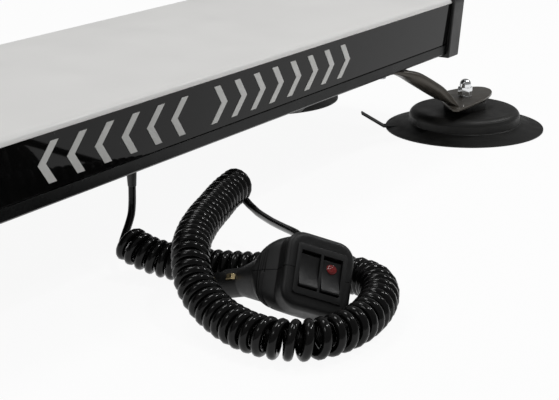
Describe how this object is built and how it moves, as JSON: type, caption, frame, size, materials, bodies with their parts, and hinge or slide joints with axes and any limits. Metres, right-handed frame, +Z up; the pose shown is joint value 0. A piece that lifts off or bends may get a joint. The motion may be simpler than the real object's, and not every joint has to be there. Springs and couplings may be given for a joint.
{
  "type": "illuminated roof sign bar",
  "caption": "Long two-faced illuminated sign bar on suction feet, with smoked windows, white top, coiled supply cord and a lighter-socket plug with rocker switches.",
  "frame": {"origin": "centre of the bar and its feet, on the roof plane that the feet stand on", "axes": "+X along the bar, -Y towards the side with the supply cord and plug, +Z up from the roof"},
  "size_m": [1.005, 0.5415, 0.1456],
  "materials": {
    "pan_black": "gloss",
    "cover_white": "satin",
    "window_smoked": "gloss",
    "legend_white": "satin",
    "cap_black": "satin",
    "seal_rubber": "matte",
    "steel": "satin",
    "carrier_aluminium": "satin",
    "board_green": "satin",
    "lamp_yellow": "gloss",
    "parts_black": "satin",
    "terminal_green": "satin",
    "cord_black": "gloss",
    "wire_red": "satin",
    "gland_black": "matte",
    "leg_metal": "satin",
    "skirt_rubber": "satin",
    "housing_rubber": "satin",
    "magnet_grey": "matte",
    "nut_chrome": "polished",
    "plug_black": "satin",
    "bezel_black": "satin",
    "rocker_black": "satin",
    "lens_red": "gloss",
    "contact_brass": "satin",
    "fuse_glass": "gloss"
  },
  "bodies": {
    "bar": {"base_pan": "pan_black", "top_cover": "cover_white", "front_window": "window_smoked", "rear_window": "window_smoked", "front_legend": "legend_white", "rear_legend": "legend_white", "end_cap_left": "cap_black", "end_cap_right": "cap_black", "end_seals": "seal_rubber", "cap_screws": "steel", "led_carrier": "carrier_aluminium", "front_led_board": "board_green", "rear_led_board": "board_green", "front_leds": "lamp_yellow", "rear_leds": "lamp_yellow", "driver_board": "board_green", "board_posts": "steel", "driver_parts": "parts_black", "terminal_block": "terminal_green", "inner_lead": "cord_black", "board_wires": "wire_red", "cable_gland": "gland_black", "leg_front_left": "leg_metal", "leg_front_right": "leg_metal", "leg_rear_left": "leg_metal", "leg_rear_right": "leg_metal", "leg_bolts": "steel", "leg_nuts": "steel", "skirt_front_left": "skirt_rubber", "skirt_front_right": "skirt_rubber", "skirt_rear_left": "skirt_rubber", "skirt_rear_right": "skirt_rubber", "foot_housings": "housing_rubber", "magnet_cups": "steel", "magnets": "magnet_grey", "foot_hubs": "housing_rubber", "foot_studs": "steel", "foot_washers": "steel", "foot_nuts": "nut_chrome", "cord_lead": "cord_black", "cord_coil": "cord_black", "cord_tail": "cord_black", "plug_shell_upper": "plug_black", "plug_shell_lower": "plug_black", "plug_barrel": "plug_black", "cord_grommet": "gland_black", "plug_bezel": "bezel_black", "switch_body": "bezel_black", "switch_blades": "contact_brass", "nose_ring": "bezel_black", "plug_screws": "parts_black"},
    "rocker_front": {"rocker_front": "rocker_black", "pilot_lens": "lens_red"},
    "rocker_rear": {"rocker_rear": "rocker_black"},
    "plug_tip": {"tip_contact": "steel", "fuse": "fuse_glass", "tip_spring": "steel"},
    "side_contact_a": {"side_contact_a": "contact_brass"},
    "side_contact_b": {"side_contact_b": "contact_brass"}
  },
  "joints": [
    {"name": "rocker_front_tilt", "type": "hinge", "parent": "bar", "child": "rocker_front", "pos_m": [-0.1035, -0.27911, 0.02939], "axis": [0.6822, -0.6273, -0.3756], "range_deg": [0, 14]},
    {"name": "rocker_rear_tilt", "type": "hinge", "parent": "bar", "child": "rocker_rear", "pos_m": [-0.11496, -0.26858, 0.0357], "axis": [0.6822, -0.6273, -0.3756], "range_deg": [0, 14]},
    {"name": "tip_press", "type": "slide", "parent": "bar", "child": "plug_tip", "axis": [0.0586, -0.9605, 0.2721], "range_m": [0, 0.003], "stiffness_N_per_m": 900, "springref_m": -0.0005},
    {"name": "side_contact_a_press", "type": "slide", "parent": "bar", "child": "side_contact_a", "axis": [0.7731, -0.1288, -0.621], "range_m": [0, 0.0018], "stiffness_N_per_m": 700, "springref_m": -0.0005},
    {"name": "side_contact_b_press", "type": "slide", "parent": "bar", "child": "side_contact_b", "axis": [-0.7731, 0.1288, 0.621], "range_m": [0, 0.0018], "stiffness_N_per_m": 700, "springref_m": -0.0005}
  ]
}
